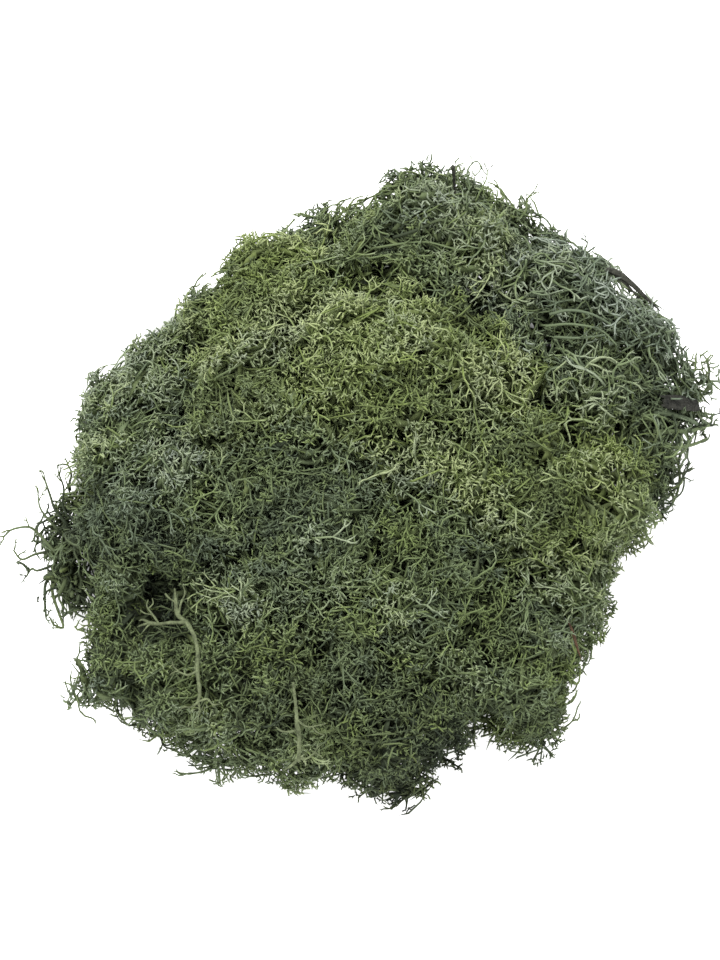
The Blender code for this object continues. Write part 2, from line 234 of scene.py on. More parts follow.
def heapSkin(dice):
    # points all over the heap's surface, the way out of each, and which cushion each belongs to: lines from
    # low in its middle, spread evenly over a wide dome, are followed inwards to where they meet it
    middle = np.array(clump["domeHeart"]) * mm
    dome = np.array(clump["dome"]) * mm
    out = unit(dice.normal(size=(clump["lines"], 3)))
    out[:, 2] = np.where(out[:, 2] < -0.14, -out[:, 2], out[:, 2])   # steep ones look up, not down
    way = unit(out * dome)
    along = np.linalg.norm(out * dome, axis=1) * 1.12     # from well outside
    for step in range(9):
        along = along - 0.92 * skin(middle + way * along[:, None])
    points = middle + way * along[:, None]
    points = points[(np.abs(skin(points)) < 0.8 * mm) & (points[:, 2] > 0.5 * mm)]
    ways = unit(np.stack([skin(points + nudge) - skin(points - nudge) for nudge in np.eye(3) * 0.5 * mm], 1))

    # the underside is flat: places in plan that are well within the heap near the ground
    flat = dice.uniform(-1, 1, (clump["underTries"], 3)) * dome
    flat[:, 2] = 4 * mm
    flat = flat[skin(flat) < -1.5 * mm]
    flat[:, 2] = 1 * mm
    points = np.concatenate([points, flat])
    ways = np.concatenate([ways, np.tile([0.0, 0.0, -1.0], (len(flat), 1))])
    kept = spaced(points, ways, clump["grain"], dice)
    points, ways = points[kept], ways[kept]
    gaps = {node: gapTo(cushion, points) for node, cushion in cushions.items()}
    for node, spots in clump["claims"].items():
        gaps[node] = gaps[node] - bowls(points, spots)[:, 0] * mm
    return points, ways, np.stack(list(gaps.values())).argmin(0)


def placed(name, data):
    # an object for a mesh, a lamp or a camera, put in the scene
    made = bpy.data.objects.new(name, data)
    bpy.context.scene.collection.objects.link(made)
    return made


def standIn(piece, node, count):
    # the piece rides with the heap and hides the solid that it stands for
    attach(piece, "root")
    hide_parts(node)
    print(f"{piece.name}: {count} triangles")


def tubeTriangles(steps, sides, capped):
    # which points make each triangle of a tube: its foot, the walls between its rings and its tip; the
    # points count ring by ring from the foot, then the tip's, then the foot's own where it isn't capped
    step, turn = np.meshgrid(np.arange(steps - 1), np.arange(sides), indexing="ij")
    a, b = step * sides + turn, step * sides + (turn + 1) % sides
    c, d = a + sides, b + sides
    walls = np.stack([a, b, d, a, d, c], -1).reshape(-1, 3)
    turn = np.arange(sides)
    last = (steps - 1) * sides + turn
    tip = np.stack([last, np.roll(last, -1), np.full(sides, steps * sides)], -1)
    if capped:
        foot = np.stack([np.zeros(sides - 2, int), turn[2:], turn[1:-1]], -1)
    else:
        foot = np.stack([np.roll(turn, -1), turn, np.full(sides, steps * sides + 1)], -1)
    return np.concatenate([foot, walls, tip])


class Strands:
    # collects the vertices, triangles and colour places of every strand in one piece
    hueStep = 0.012           # from side to side of a strand, so that every face has width on the colour map

    def __init__(self):
        self.points, self.corners, self.places, self.total = [], [], [], 0

    def add(self, paths, widths, tones, hues, sides=3, outline=1.0):
        # a ring of points round each step of a path, half the width away from it and square to it; where
        # the width is 0 at either end it closes in a point, else the foot gets a flat cap and the tip a
        # blunt point; the outline multiplies the radius at each corner of a ring
        if not len(paths):
            return
        capped = widths[0, 0] > 0
        if widths[0, -1] > 0:
            past = paths[:, -1] + unit(paths[:, -1] - paths[:, -2]) * widths[:, -1:] * 0.45
            paths = np.concatenate([paths, past[:, None]], 1)
            widths = np.concatenate([widths, widths[:, -1:] * 0], 1)
            tones = np.concatenate([tones, tones[:, -1:] + 0.02], 1)
        count = len(paths)
        inner = slice(0 if capped else 1, -1)
        ends = [-1] if capped else [-1, 0]
        along = unit(np.gradient(paths, axis=1))
        chord = unit(paths[:, -1] - paths[:, 0])
        spare = np.where(np.abs(chord[:, 2:]) < 0.8, [0.0, 0.0, 1.0], [1.0, 0.0, 0.0])
        side = unit(np.cross(chord, spare))[:, None]
        side = unit(side - along * (side * along).sum(-1, keepdims=True))
        other = np.cross(along, side)
        turns = np.arange(sides) * 2 * np.pi / sides
        around = side[:, :, None] * np.cos(turns)[:, None] + other[:, :, None] * np.sin(turns)[:, None]
        rings = (paths[:, :, None] + around * (widths[:, :, None] * outline)[..., None] / 2)[:, inner]
        steps = rings.shape[1]
        self.points.append(np.concatenate([rings.reshape(count, -1, 3), paths[:, ends]], 1).reshape(-1, 3))

        pattern = tubeTriangles(steps, sides, capped)
        perStrand = steps * sides + len(ends)
        starts = self.total + np.arange(count) * perStrand
        self.corners.append((starts[:, None, None] + pattern).reshape(-1, 3))
        self.total += count * perStrand

        # each strand's place on the colour map: tone along it and hue across it
        tone = np.concatenate([np.repeat(tones[:, inner], sides, 1), tones[:, ends]], 1)
        hue = hues[:, None] + self.hueStep * np.append(np.tile(np.arange(sides), steps), np.ones(len(ends)))
        place = np.stack([tone[:, pattern], hue[:, pattern]], -1)
        if capped:
            place[:, :sides - 2, 1, 0] += self.hueStep
        self.places.append(place.reshape(-1, 2))

    def piece(self, name, finish, mapped=True):
        # one object of all the strands, and how many triangles it has
        points = np.concatenate(self.points).astype(np.float32)
        corners = np.concatenate(self.corners).astype(np.int32)
        mesh = bpy.data.meshes.new(name)
        mesh.vertices.add(len(points))
        mesh.vertices.foreach_set("co", points.ravel())
        mesh.loops.add(corners.size)
        mesh.loops.foreach_set("vertex_index", corners.ravel())
        mesh.polygons.add(len(corners))
        mesh.polygons.foreach_set("loop_start", np.arange(0, corners.size, 3, dtype=np.int32))
        mesh.polygons.foreach_set("use_smooth", np.ones(len(corners), bool))
        mesh.update(calc_edges=True)
        if mapped:
            places = np.clip(np.concatenate(self.places), 0.002, 0.998).astype(np.float32)
            mesh.uv_layers.new(name="OFBake").uv.foreach_set("vector", places.ravel())
        mesh.materials.append(finish)
        return placed(name, mesh), len(corners)


def arcs(starts, ends, startWays, endWays, steps, bend=1.0):
    # Hermite curves: each leaves its start along one way and comes to its end along another
    share = np.linspace(0, 1, steps)[None, :, None]
    pull = np.linalg.norm(ends - starts, axis=1)[:, None, None] * bend
    startWays, endWays = startWays[:, None] * pull, endWays[:, None] * pull
    starts, ends = starts[:, None], ends[:, None]
    cubed, squared = share ** 3, share ** 2
    return (starts * (2 * cubed - 3 * squared + 1) + startWays * (cubed - 2 * squared + share)
            + ends * (3 * squared - 2 * cubed) + endWays * (cubed - squared))


def curveThrough(points, steps):
    # a smooth curve through given points in mm (Catmull-Rom), read off at even steps
    points = np.array(points, float) * mm
    padded = np.concatenate([[2 * points[0] - points[1]], points, [2 * points[-1] - points[-2]]])
    at = np.linspace(0, len(points) - 1 - 1e-6, steps)
    span = at.astype(int)
    share = (at - span)[:, None]
    a, b, c, d = (padded[span + step] for step in range(4))
    return 0.5 * (2 * b + (c - a) * share + (2 * a - 5 * b + 4 * c - d) * share ** 2
                  + (3 * b - 3 * c + d - a) * share ** 3)


def ramped(first, last, steps):
    # values that run evenly from first to last, a row for each strand
    share = np.linspace(0, 1, steps)
    return first[:, None] * (1 - share) + last[:, None] * share


def lifted(paths, widths):
    # keeps every strand clear of the surface that the clump rests on
    paths[..., 2] = np.maximum(paths[..., 2], widths * 0.5 + clump["ground"] * mm)
    return paths


class Maths:
    # wraps a socket, so that Math nodes are written as Python expressions
    def __init__(self, finish, socket):
        self.finish, self.socket = finish, socket

    def combine(self, operation, first, second):
        made = self.finish.node("Math", {"operation": operation}, _0=first, _1=second)
        return Maths(self.finish, made.outputs[0])

    def __add__(self, other):
        return self.combine("ADD", self, other)

    def __sub__(self, other):
        return self.combine("SUBTRACT", self, other)

    def __rsub__(self, other):
        return self.combine("SUBTRACT", other, self)

    def __mul__(self, other):
        return self.combine("MULTIPLY", self, other)

    __radd__, __rmul__ = __add__, __mul__


class Finish:
    # one material and its nodes
    def __init__(self, name, roughness, **constants):
        self.material = bpy.data.materials.new(name)
        self.material.use_nodes = True
        self.tree = self.material.node_tree
        self.shader = self.tree.nodes["Principled BSDF"]
        self.shader.inputs["Roughness"].default_value = roughness
        for socket, value in constants.items():
            self.shader.inputs[socket.replace("_", " ")].default_value = value

    def node(self, kind, settings=None, **sockets):
        # any node with its settings and sockets: _0 is a socket's number, and the others go by their names
        made = self.tree.nodes.new("ShaderNode" + kind)
        for name, value in (settings or {}).items():
            if name == "stops":
                ramp = made.color_ramp
                while len(ramp.elements) < len(value):
                    ramp.elements.new(0.5)
                for element, (place, colour) in zip(ramp.elements, value):
                    element.position = place
                    element.color = (*colour, 1)
            else:
                setattr(made, name, value)
        for name, value in sockets.items():
            socket = int(name[1:]) if name[1:].isdigit() else name.replace("_", " ")
            self.feed(value, made.inputs[socket])
        return made

    def feed(self, value, socket):
        if isinstance(value, Maths):
            value = value.socket
        if isinstance(value, bpy.types.NodeSocket):
            self.tree.links.new(value, socket)
        else:
            socket.default_value = value


def mossFinish(name, warm, cool):
    # tone runs along the colour map and hue across it: two ramps, dark heart (old growth, darkened further as
    # painted shade) to pale tips, mixed by hue
    finish = Finish(name, 0.85, Specular_IOR_Level=0.12)
    place = finish.node("UVMap", {"uv_map": "OFBake"}).outputs["UV"]
    split = finish.node("SeparateXYZ", Vector=place)
    warmRamp = finish.node("ValToRGB", {"stops": warm}, Fac=split.outputs["X"])
    coolRamp = finish.node("ValToRGB", {"stops": cool}, Fac=split.outputs["X"])
    both = finish.node("Mix", {"data_type": "RGBA"}, _0=split.outputs["Y"], _6=warmRamp.outputs["Color"],
                       _7=coolRamp.outputs["Color"])
    finish.feed(both.outputs[2], finish.shader.inputs["Base Color"])
    return finish.material


# linear colours at five tones, from the darkest old growth, deepened as painted shade, to the tips, and each
# dye lot's cast
mossTones = (0, 0.15, 0.3, 0.65, 1)
warmMoss = ((0.037, 0.047, 0.020), (0.106, 0.134, 0.050), (0.124, 0.163, 0.057), (0.163, 0.214, 0.072),
            (0.279, 0.330, 0.172))
coolMoss = ((0.031, 0.041, 0.027), (0.081, 0.105, 0.061), (0.092, 0.119, 0.075), (0.119, 0.152, 0.105),
            (0.231, 0.270, 0.218))
casts = {
    "moss_yellow_green": (1.05, 1.03, 0.92),
    "moss_mid_green": (0.95, 0.945, 0.97),
    "moss_deep_green": (0.97, 0.96, 0.96),
    "moss_blue_green": (0.96, 0.95, 0.98),
}


def castRamp(colours, cast):
    # the ramp's stops, each colour times the cast
    return [(tone, tuple(part * share for part, share in zip(colour, cast)))
            for tone, colour in zip(mossTones, colours)]


finishes = {name: mossFinish(name, castRamp(warmMoss, cast), castRamp(coolMoss, cast))
            for name, cast in casts.items()}
print("finishes made:", len(finishes))


usual = {  # what a tuft grows like unless its own settings say otherwise; lengths in mm
    "slot": "moss_mid_green",
    "headSpacing": 1.9,       # between the forks that make the surface
    "arms": 3.0,              # branches at each fork
    "armLength": (1.1, 2.1),
    "armWidth": (0.46, 0.38),
    "tipLength": (0.4, 0.85),
    "thorns": 0.7,            # side branches on each arm
    "tilt": (38, 92),         # how far an arm leans away from its fork's own way, in degrees
    "stemWidth": (1.1, 0.7),
    "stalkWidth": (0.60, 0.46),
    "deepWidth": (2.0, 1.4),  # of the old stems deep inside
    # the old stems' dark tones: their own old growth, deepened as painted shade
    "deepTones": (0.11, 0.18),
    "tangle": 2.4,            # spacing of the old stems that lie under the surface
    "sprays": 11,             # spacing of the longer branches that fork again and again along the surface
    "sprayLengths": (4.0, 2.8, 1.9),
    "sprayWidths": (0.62, 0.54, 0.46, 0.38),
    # spray tones pale from foot to tips: the tips' own paleness, with painted shade towards the foot
    "sprayTones": (0.34, 0.52, 0.68, 0.84),
    "sprayDepth": 0.8,        # how deep under the canopy they run
    "flow": (0.3, -0.5, 0.2),  # the way they run, or its opposite
    "pull": 0.25,             # how strongly they keep to it
    "curl": 0.65,             # how strongly their branches bend aside
    "loose": 0.12,            # share of forks that stand proud or lie deep
    "cool": 0.45,
    "tone": 0.0,
    "sideTone": 0.10,         # painted shade: how much darker the sides are than the top
    "sunkTone": 0.034,        # painted shade: how much darker a fork is for each mm that it lies deep
    "contrast": 1.0,          # how far the tones along an arm lie from their middle
    "mottle": 0.09,           # how much one fork's tone differs from the next
}
tufts = {
    "tuft_crown": {
        "slot": "moss_deep_green", "headSpacing": 1.95, "armWidth": (0.48, 0.40),
        "armLength": (1.2, 2.4), "sprays": 6.5, "sprayLengths": (4.2, 3.0, 2.0),
        "sprayWidths": (0.66, 0.56, 0.48, 0.40), "flow": (1, 0.1, -0.1), "pull": 0.5},
    "tuft_back_knot": {"slot": "moss_blue_green", "cool": 0.6, "tone": -0.08},
    "tuft_upper_left": {"slot": "moss_yellow_green", "cool": 0.43, "contrast": 0.70, "tone": 0.02},
    "tuft_left_shoulder": {"tone": 0.06, "contrast": 1.25},
    "tuft_saddle": {"slot": "moss_yellow_green"},
    "tuft_summit": {"slot": "moss_yellow_green", "cool": 0.40, "contrast": 0.9},
    "tuft_right_flank": {
        "slot": "moss_blue_green", "cool": 0.60, "headSpacing": 2.7, "armLength": (1.8, 3.4),
        "armWidth": (0.60, 0.46), "stalkWidth": (0.80, 0.62), "tipLength": (0.7, 1.5),
        "sprays": 4.2, "sprayLengths": (4.8, 3.6, 2.3), "sprayWidths": (0.76, 0.64, 0.54, 0.44),
        "flow": (0.35, -0.8, -0.4), "pull": 0.4, "curl": 0.9,
        "sunkTone": 0.055, "mottle": 0.2, "tone": -0.02},
    "tuft_right_brow": {"slot": "moss_yellow_green", "cool": 0.40},
    "tuft_middle": {"cool": 0.5, "tone": -0.14},
    "tuft_low_brow": {"contrast": 0.6, "tone": -0.12},
    "tuft_left_middle": {
        "cool": 0.55, "tone": -0.12, "contrast": 1.3, "sunkTone": 0.05,
        "flow": (0.1, -1, -0.3), "sprays": 8, "pull": 0.5},
    "tuft_left_spray": {
        "slot": "moss_deep_green", "cool": 0.55, "tone": -0.22, "headSpacing": 4.8, "tangle": 5.0,
        "armLength": (1.8, 3.2), "armWidth": (0.56, 0.44), "sprays": 6.0, "deepWidth": (0.9, 0.7),
        "sprayLengths": (3.6, 2.9, 2.1), "sprayWidths": (0.78, 0.68, 0.56, 0.44),
        "flow": (-0.6, -0.7, 0.1), "pull": 0.1, "curl": 1.1},
    "tuft_lower_left": {
        "tone": -0.13, "contrast": 1.35, "sunkTone": 0.05,
        "flow": (0.1, -1, -0.2), "sprays": 7},
    "tuft_bottom": {"slot": "moss_deep_green", "cool": 0.5, "tone": -0.24},
    "tuft_lower_right": {"tone": -0.14},
    "tuft_right_low": {},
}
# loose strands that stand out of a tuft: the points each runs through, in mm, and its width at the foot
wisps = {
    "tuft_left_spray": [
        (((-72, -18, 17), (-77, -12.5, 18), (-79.4, -11.2, 20), (-83.5, -11.5, 19), (-85.4, -12.9, 18)),
         0.8),
        (((-74, -15, 13), (-78.2, -16.2, 14), (-81.4, -17.5, 14), (-83.3, -15.5, 15)), 0.75),
        (((-73, -18, 12), (-77.5, -20, 13), (-79, -19.5, 13), (-80.2, -21.4, 13)), 0.7),
        (((-73, -19, 10), (-75.8, -21.8, 9), (-76.1, -25.6, 8), (-75.8, -29.7, 7)), 0.95),
        (((-71, -20, 11), (-74.2, -23.1, 9), (-73.2, -27.6, 8), (-71.5, -32.4, 7), (-73.7, -32.2, 8)),
         0.9),
        (((-70, -21, 10), (-72.7, -25.1, 9), (-70.8, -28.6, 8)), 0.75),
        (((-71.8, -30.2, 8), (-69.4, -28.4, 8), (-66.5, -27.9, 8), (-63, -28.7, 8)), 0.7),
        (((-70, -11, 20), (-73, -7.5, 22), (-74.2, -4.2, 22), (-75.6, -0.2, 22)), 0.85),
        (((-70, -9, 21), (-71.3, -6.2, 22), (-71, -2.4, 23), (-72.2, 1, 23)), 0.7),
        (((-72, -12, 18), (-76.5, -7, 20), (-77.4, -3, 20)), 0.65)],
    "tuft_crown": [
        (((25, 68, 34), (26.6, 70.3, 35), (25.9, 73.6, 36), (27.1, 76.1, 36), (28.6, 77.2, 35),
          (29.4, 75.4, 35), (28.1, 73.6, 35)), 0.5),
        (((28, 67, 34), (29, 69.1, 35), (30.6, 72.1, 36), (30.9, 74.4, 36)), 0.5),
        (((26, 67, 34), (24.2, 71, 35), (23.5, 73.4, 36)), 0.42),
        (((38, 63, 31), (40.3, 65.5, 32), (40.6, 68, 33), (41.7, 69.6, 33)), 0.6),
        (((8, 54.5, 42), (14, 55.6, 44.5), (19, 57.8, 45), (23.5, 56.6, 45), (26, 53.5, 44)), 0.9),
        (((3, 52.5, 40), (9, 52.8, 42), (16, 53.2, 42.5), (24, 51.4, 42), (31, 53, 41)), 0.65),
        (((2, 49.5, 41), (8, 50.2, 42), (15, 49.6, 42.5), (21, 50.6, 42)), 0.6)],
    "tuft_right_flank": [
        (((54, 49, 28), (55.4, 52.5, 30), (54.5, 55, 31), (55.1, 57.4, 31)), 0.6),
        (((53, 51, 29), (55.9, 52.6, 30), (57.8, 53.3, 30), (60.2, 51.9, 29), (61.9, 49.3, 28)), 0.75),
        (((54, 48, 29), (58.3, 49.6, 30), (61.4, 50.3, 29), (65, 47, 27)), 0.75),
        (((64, 44, 28), (68.6, 42.3, 28), (71.2, 39.8, 27), (73.6, 36.4, 25)), 1.15),
        (((78, 21, 20), (82.6, 22.2, 20), (85.3, 23.2, 20), (84.8, 25.2, 21)), 0.7),
        (((78, 18, 18), (81.8, 18.5, 18), (85.8, 17.9, 18)), 0.75),
        (((73, 13, 12), (76.3, 9.7, 12), (77.8, 5.9, 11), (77.2, 0.8, 10), (75.1, -2.9, 9), (71, -5.6, 8)),
         0.85),
        (((73, 7, 12), (76.8, 5.6, 13), (78.6, 3.6, 13), (78, 0, 12), (75, -2, 11)), 0.6),
        (((45, 34.5, 43), (50, 35.4, 43.5), (56, 34.2, 43), (62, 31, 41)), 0.85),
        (((44, 31.5, 43), (50, 31.9, 43.5), (57, 30.6, 43), (61, 27, 42)), 0.75),
        (((46, 28.8, 43), (52, 28.4, 43.5), (58, 29.4, 43)), 0.75),
        (((70, 13.4, 32.6), (73, 13.6, 32), (77, 13.2, 30), (81, 12.6, 26.6)), 1.6),
        (((70, 9.5, 30), (74, 9.8, 29.5), (79, 10.8, 27), (84, 13.2, 24)), 1.3),
        (((71, 6.5, 28), (75, 6.3, 27.5), (80, 8, 25), (83.5, 10.5, 22)), 1.1)],
}


class Tuft:
    # one tuft as it grows: its settings, its places on the heap's skin, and the strands laid so far

    def __init__(self, node, points, ways, own, seed):
        self.node, self.points, self.ways, self.own = node, points, ways, own
        self.dice = np.random.default_rng(seed)
        self.strands = Strands()
        self.heart = cushions[node]["heart"] * [1, 1, 0.75]
        self.crowns = points[spaced(points, ways, clump["crownSpacing"], self.dice)]
        self.buds = points[spaced(points, ways, clump["budSpacing"], self.dice)]
        self.drops = self.dice.uniform(*clump["crownDrops"], len(self.crowns))

    def sink(self, points, ways):
        # how far the canopy lies under the skin: domes over the crowns and the buds, the hollows and
        # swells, and room round the finds
        crown, far = nearestOf(points, self.crowns)
        near = nearestOf(points, self.buds)[1]
        depth = clump["crownRelief"] * (far / mm / (0.60 * clump["crownSpacing"])) ** 2 + self.drops[crown]
        depth = np.minimum(depth, clump["deepest"])
        depth = depth + clump["budRelief"] * (near / mm / (0.58 * clump["budSpacing"])) ** 2
        depth = depth + clump["sidesIn"] * (1 - smooth(0.1, 0.6, ways[:, 2]))
        depth = depth + bowls(points, clump["hollows"] + clump["notches"])[:, 0] - clump["proud"]
        radius, room = clump["clearing"]
        depth = depth + room * np.exp(-(nearestOf(points, findPlaces)[1] / (radius * mm)) ** 2)
        length, swell = clump["roll"]
        return (depth + swell * ripple(points, length * mm, 903)) * mm

    def shade(self, points):
        # how cool and how light the moss is there: the tuft's own, the places where the dye took differently,
        # painted light and shade, and ripples; cooler moss is a little darker
        cooler, lighter = bowls(points, clump["casts"]).T
        lighter = lighter + bowls(points, clump["lights"])[:, 0]
        cool, light = self.own["cool"] + cooler, self.own["tone"] + lighter
        for strength, length, seed in clump["hueRipples"]:
            cool = cool + strength * ripple(points, length * mm, seed)
        for strength, length, seed in clump["toneRipples"]:
            light = light + strength * ripple(points, length * mm, seed)
        return np.clip(cool, 0.0, 0.93), light - 0.20 * (cool - self.own["cool"])

    def sampled(self, spacing):
        # places on the skin, fewer low on the sides and fewest underneath
        kept = spaced(self.points, self.ways, spacing, self.dice)
        share = np.interp(self.ways[kept, 2], [-0.9, -0.6, -0.1, 0.45], [0.06, 0.3, 0.65, 1.0])
        kept = kept[self.dice.random(len(kept)) < share]
        return self.points[kept], self.ways[kept]

    def inside(self, points, ways, depth):
        # places a depth under the skin, each with its own way to grow
        far = np.linalg.norm(points - self.heart, axis=1)
        inner = points - ways * np.minimum(depth, 0.75 * far)[:, None]
        return inner, unit(ways + 0.35 * self.dice.normal(size=ways.shape))

    def stalks(self, points, ways, parents, parentWays, steps):
        # curves from the nearest fork of the coarser level up to each point
        up = nearestOf(points, parents)[0]
        chord = unit(points - parents[up])
        leave = unit(parentWays[up] * 0.6 + chord * 0.7 + 0.25 * self.dice.normal(size=chord.shape))
        return arcs(parents[up], points, leave, unit(ways * 0.9 + chord * 0.5), steps)

    def layWood(self, paths, widths, tones, sides=3, pointed=False):
        # bare stems, which thin from the first width to the second and lighten from one tone to the other
        count, steps = paths.shape[:2]
        swell = self.dice.uniform(0.85, 1.15, count) * mm
        width = ramped(widths[0] * swell, widths[1] * swell, steps)
        if pointed:
            width[:, [0, -1]] = 0
        tone = ramped(np.full(count, tones[0]), np.full(count, tones[1]), steps)
        tone = tone + self.dice.uniform(-0.04, 0.04, (count, 1))
        cool, light = self.shade(paths[:, -1])
        self.strands.add(lifted(paths, width), width, np.clip(tone + 0.3 * light[:, None], 0, 1), cool, sides)

    def layStems(self, centres, lying, half, wander, widths, tones, flat=1.0):
        # pointed stems through their centres, half their length each way, which leave that way bent aside
        bent = unit(lying + wander * self.dice.normal(size=lying.shape) * flat)
        paths = arcs(centres - lying * half, centres + lying * half, bent, unit(2 * lying - bent), 4)
        self.layWood(paths, widths, tones, pointed=True)

    def layThorns(self, feet, ways, lengths, widths, tones, hues):
        # short straight points that start just inside a branch and thin to nothing
        tips = np.stack([feet - ways * 0.1 * mm, feet + ways * lengths[:, None] * mm], 1)
        width = np.stack([widths, 0 * widths], 1)
        self.strands.add(lifted(tips, width), width, tones, hues)

    def growLimbs(self):
        # limbs fan out from the heart, and stems from the limbs up to just under the canopy
        thick, thin = self.own["stemWidth"]
        upward = np.array([[0.0, 0.0, 1.0]])
        points, ways = self.sampled(clump["crownSpacing"])
        limbs, limbWays = self.inside(points, ways, 0.5 * np.linalg.norm(points - self.heart, axis=1))
        paths = self.stalks(limbs, limbWays, self.heart[None], upward, 5)
        self.layWood(paths, (1.3 * thick, thick), (0.14, 0.17), 4)

        points, ways = self.sampled(clump["budSpacing"])
        depth = self.sink(points, ways) + self.dice.uniform(4.0, 7.5, len(points)) * mm
        self.stems, self.stemWays = self.inside(points, ways, depth)
        self.layWood(self.stalks(self.stems, self.stemWays, limbs, limbWays, 5), (thick, thin), (0.15, 0.26))

    def growTangle(self):
        # old stems lie every way under the surface: thick ones deep down close it, and thin ones lie above
        own, dice = self.own, self.dice
        deep = (1.1 * own["tangle"], (5.0, 9.0), own["deepWidth"], own["deepTones"])
        above = (own["tangle"], (2.0, 4.8), (0.60, 0.46), (0.16, 0.40))
        for spacing, depths, widths, tones in (deep, above):
            points, ways = self.sampled(spacing)
            count = len(points)
            depth = self.sink(points, ways) + dice.uniform(*depths, count) * mm
            centres = self.inside(points, ways, depth)[0]
            lying = leaning(ways, np.radians(dice.uniform(62, 100, count)), dice.uniform(0, 2 * np.pi, count))
            half = dice.uniform(3.0, 6.5, count)[:, None] * mm
            self.layStems(centres, lying, half, 0.8, widths, tones)

    def growBed(self):
        # the bed: the oldest stems lie flat at the bottom, close enough to hide the ground
        dice = self.dice
        under = np.flatnonzero(self.ways[:, 2] < -0.9)
        points, ways = self.points[under], self.ways[under]
        points = points[spaced(points, ways, clump["bedSpacing"], dice)]
        room = -skin(points + [0, 0, 3 * mm])[:, None]
        points, room = points[room[:, 0] > 5 * mm], room[room[:, 0] > 5 * mm]
        count = len(points)
        turn = dice.uniform(0, 2 * np.pi, count)
        lying = np.column_stack([np.cos(turn), np.sin(turn), 0 * turn])
        half = dice.uniform(3.5, 6.0, count)[:, None] * mm
        points = points + [0, 0, 1] * (0.6 * mm + dice.random((count, 1)) * np.minimum(room, 14 * mm))
        self.layStems(points, lying, half, 0.5, self.own["deepWidth"], self.own["deepTones"], [1, 1, 0.2])

    def growForks(self):
        # forks near the surface, each with up to four arms spread evenly round its own way
        own, dice = self.own, self.dice
        points, ways = self.sampled(own["headSpacing"])
        count = len(points)
        loose = dice.random(count) < own["loose"]
        extra = np.where(loose, dice.uniform(-1.3, 3.5, count), dice.uniform(0.0, 1.1, count))
        depth = self.sink(points, ways) + (extra + np.mean(own["armLength"]) * 0.7) * mm
        heads, headWays = self.inside(points, ways, depth)
        cool, light = self.shade(heads)
        # painted shade: forks that lie deep, and forks on the sides, are darker
        sunk = np.clip(depth / mm - 3.0, -3, 9)
        light = light - own["sunkTone"] * sunk - own["sideTone"] * (1 - smooth(0.0, 0.6, ways[:, 2]))
        light = light + own["mottle"] * dice.uniform(-1, 1, count)
        cool = np.clip(cool + dice.uniform(-0.12, 0.12, count), 0, 0.95)

        slots = 4
        wanted = dice.uniform(own["arms"] - 1, own["arms"] + 1, count)
        on = np.arange(slots)[None] + dice.random((count, slots)) < wanted[:, None] + 0.5
        spread = np.arange(slots)[None] * 2 * np.pi / np.maximum(wanted, 2.5)[:, None]
        turn = dice.uniform(0, 2 * np.pi, (count, 1)) + spread + dice.uniform(-0.45, 0.45, (count, slots))
        tilt = np.radians(dice.uniform(*own["tilt"], (count, slots)))
        ways = leaning(np.repeat(headWays[:, None], slots, 1), tilt, turn)[on]
        owner = np.repeat(np.arange(count)[:, None], slots, 1)[on]
        self.growArms(heads, headWays, cool, light, ways, owner)

    def growArms(self, heads, headWays, cool, light, ways, owner):
        # an arm bends to one side, ends in a fork of two tips and carries thorns on the outside of its bend
        own, dice = self.own, self.dice
        size = len(owner)
        length = dice.uniform(*own["armLength"], size)[:, None] * mm
        aside = unit(np.cross(ways, unit(dice.normal(size=ways.shape))))
        ends = heads[owner] + unit(ways + 0.45 * aside) * length
        leave = unit(0.4 * headWays[owner] + ways - 0.3 * aside)
        ending = unit(0.4 * ways + aside)
        paths = arcs(heads[owner], ends, leave, ending, 5, 1.2)[:, [0, 2, 4]]
        split = unit(np.cross(ending, unit(dice.normal(size=ways.shape))))
        tips = paths[:, -1] + unit(ending + 0.8 * split) * dice.uniform(*own["tipLength"], size)[:, None] * mm
        paths = np.concatenate([paths, tips[:, None]], 1)
        wide, thin = own["armWidth"]
        swell = dice.uniform(0.85, 1.2, size) * mm
        width = np.stack([0 * swell, wide * swell, thin * swell, 0 * swell], 1)
        # each arm pales from its foot to its tip: the tips' own paleness, with painted shade at the foot
        tone = 0.65 + own["contrast"] * np.array([-0.17, -0.05, 0.11, 0.30]) + light[owner, None]

        # the first arm of each fork carries its stalk on, and the rest start at the fork
        first = np.append(True, owner[1:] != owner[:-1])
        rest = ~first
        self.strands.add(lifted(paths[rest], width[rest]), width[rest], tone[rest], cool[owner][rest])
        rise = self.stalks(heads, headWays, self.stems, self.stemWays, 3)[:, :2]
        riseWidth = np.array(own["stalkWidth"])[None] * swell[first, None]
        riseTone = np.array([0.20, 0.36])[None] + 0.7 * light[:, None]
        whole = np.concatenate([rise, paths[first, 1:]], 1)
        wholeWidth = np.concatenate([riseWidth, width[first, 1:]], 1)
        wholeTone = np.concatenate([riseTone, tone[first, 1:]], 1)
        self.strands.add(lifted(whole, wholeWidth), wholeWidth, wholeTone, cool)

        lengths = dice.uniform(*own["tipLength"], size)
        self.layThorns(paths[:, 2], unit(ending - 0.8 * split), lengths, width[:, 2], tone[:, 2:],
                       cool[owner])
        some = dice.random(size) < own["thorns"]
        lengths = dice.uniform(*own["tipLength"], some.sum()) * 1.15
        thornTone = np.stack([tone[some, 1], tone[some, 2] + 0.1], 1)
        self.layThorns(paths[some, 1], unit(ways - 0.9 * aside)[some], lengths, width[some, 1], thornTone,
                       cool[owner][some])

    def growForked(self, feet, ways, outs, depths, lengths, widths, tones):
